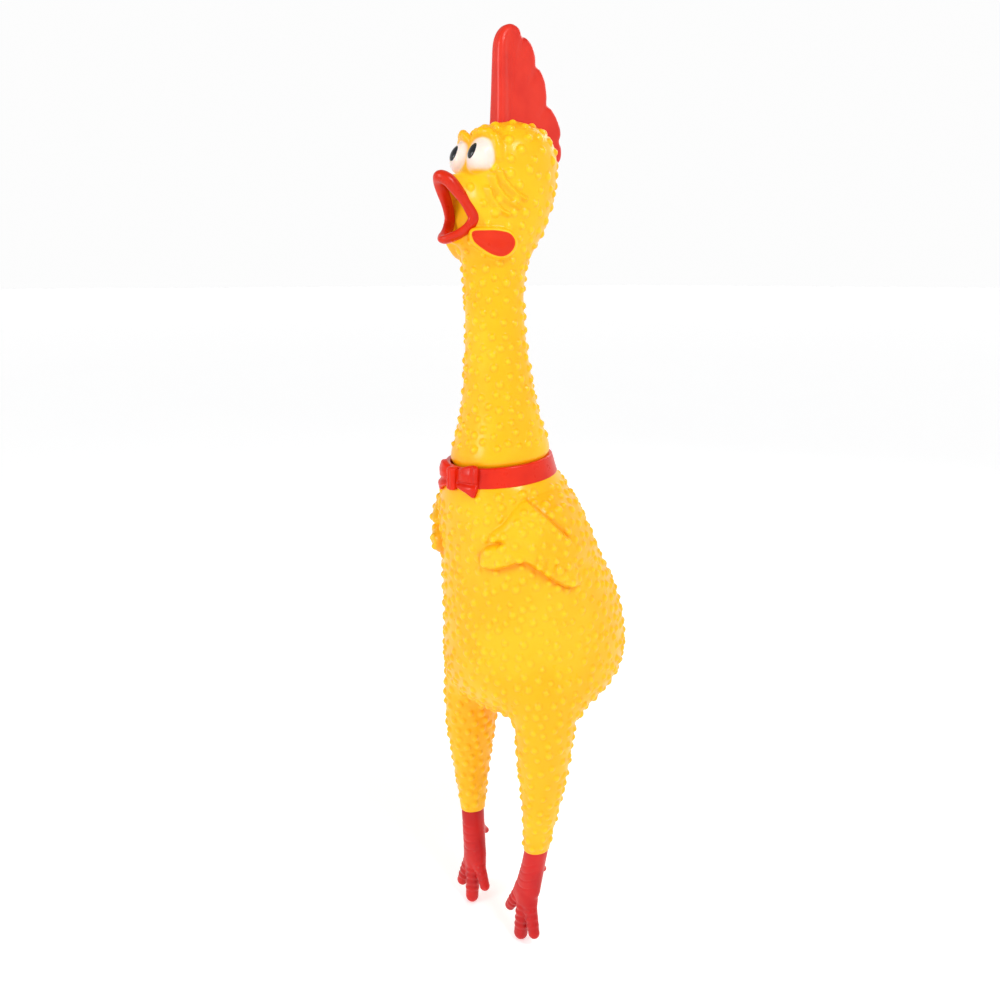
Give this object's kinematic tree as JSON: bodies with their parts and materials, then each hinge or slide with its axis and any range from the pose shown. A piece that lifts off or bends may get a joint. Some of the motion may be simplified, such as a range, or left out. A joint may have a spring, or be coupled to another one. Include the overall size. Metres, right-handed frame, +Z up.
{
  "type": "rubber chicken",
  "caption": "Hollow soft-vinyl rubber chicken toy: bumpy pear-shaped body, long bending neck, gaping beak, dangling legs and a reed noise maker that sounds when squeezed.",
  "frame": {"origin": "on the floor under the middle of the bounding box, with the toy upright on its toe tips", "axes": "+Z up from toes to comb, -Y the way the beak points, +X the chicken's left"},
  "size_m": [0.0802, 0.0948, 0.4],
  "materials": {
    "yellow_vinyl": "satin",
    "red_vinyl": "satin",
    "white_paint": "satin",
    "black_paint": "gloss",
    "whistle_plastic": "matte",
    "reed_film": "gloss"
  },
  "bodies": {
    "torso": {"torso_shell": "yellow_vinyl", "hip_bend_left": "yellow_vinyl", "hip_bend_right": "yellow_vinyl", "wing_left": "yellow_vinyl", "wing_right": "yellow_vinyl", "tail": "yellow_vinyl", "collar_band": "red_vinyl", "bow_loops": "red_vinyl", "bow_knot": "red_vinyl"},
    "belly": {"belly_panel": "yellow_vinyl"},
    "neck": {"neck_base_shell": "yellow_vinyl", "neck_lower_bend": "yellow_vinyl", "whistle_body": "whistle_plastic", "whistle_ring": "whistle_plastic", "reed_bed": "whistle_plastic", "reed_clamp": "whistle_plastic"},
    "reed": {"reed": "reed_film"},
    "upper_neck": {"neck_mid_shell": "yellow_vinyl", "neck_upper_bend": "yellow_vinyl"},
    "head": {"head_shell": "yellow_vinyl", "comb": "red_vinyl", "beak_lips": "red_vinyl", "eye_left": "white_paint", "eye_right": "white_paint", "pupil_left": "black_paint", "pupil_right": "black_paint", "wattle_left": "red_vinyl", "wattle_right": "red_vinyl"},
    "left_leg": {"leg_left": "yellow_vinyl", "ankle_bend_left": "yellow_vinyl"},
    "right_leg": {"leg_right": "yellow_vinyl", "ankle_bend_right": "yellow_vinyl"},
    "left_foot": {"foot_left": "red_vinyl"},
    "right_foot": {"foot_right": "red_vinyl"}
  },
  "joints": [
    {"name": "belly_squeeze", "type": "slide", "parent": "torso", "child": "belly", "axis": [0, 1, 0], "range_m": [0, 0.014], "stiffness_N_per_m": 800},
    {"name": "neck_swivel", "type": "hinge", "parent": "torso", "child": "neck", "pos_m": [0, -0.01395, 0.2165], "axis": [0, -0.1045, 0.9945], "continuous": true},
    {"name": "reed_flutter", "type": "hinge", "parent": "neck", "child": "reed", "pos_m": [0, -0.01386, 0.20942], "axis": [1, 0, 0], "range_deg": [-1, 4], "stiffness_Nm_per_rad": 0.002},
    {"name": "neck_side_bend", "type": "hinge", "parent": "neck", "child": "upper_neck", "pos_m": [0, -0.0152, 0.256], "axis": [0, 1, 0], "range_deg": [-30, 30], "stiffness_Nm_per_rad": 0.6, "deforming": ["neck_lower_bend"]},
    {"name": "head_nod", "type": "hinge", "parent": "upper_neck", "child": "head", "pos_m": [0, -0.01735, 0.2905], "axis": [1, 0, 0], "range_deg": [-35, 35], "stiffness_Nm_per_rad": 0.5, "deforming": ["neck_upper_bend"]},
    {"name": "left_leg_swing", "type": "hinge", "parent": "torso", "child": "left_leg", "pos_m": [0.0269, -0.01055, 0.088], "axis": [1, 0, 0], "range_deg": [-60, 45], "stiffness_Nm_per_rad": 0.15, "deforming": ["hip_bend_left"]},
    {"name": "left_ankle_flex", "type": "hinge", "parent": "left_leg", "child": "left_foot", "pos_m": [0.02445, -0.01185, 0.04875], "axis": [1, 0, 0], "range_deg": [-30, 30], "stiffness_Nm_per_rad": 0.05, "deforming": ["ankle_bend_left"]},
    {"name": "right_leg_swing", "type": "hinge", "parent": "torso", "child": "right_leg", "pos_m": [-0.0269, -0.01055, 0.088], "axis": [1, 0, 0], "range_deg": [-60, 45], "stiffness_Nm_per_rad": 0.15, "deforming": ["hip_bend_right"]},
    {"name": "right_ankle_flex", "type": "hinge", "parent": "right_leg", "child": "right_foot", "pos_m": [-0.02445, -0.01185, 0.04875], "axis": [1, 0, 0], "range_deg": [-30, 30], "stiffness_Nm_per_rad": 0.05, "deforming": ["ankle_bend_right"]}
  ]
}
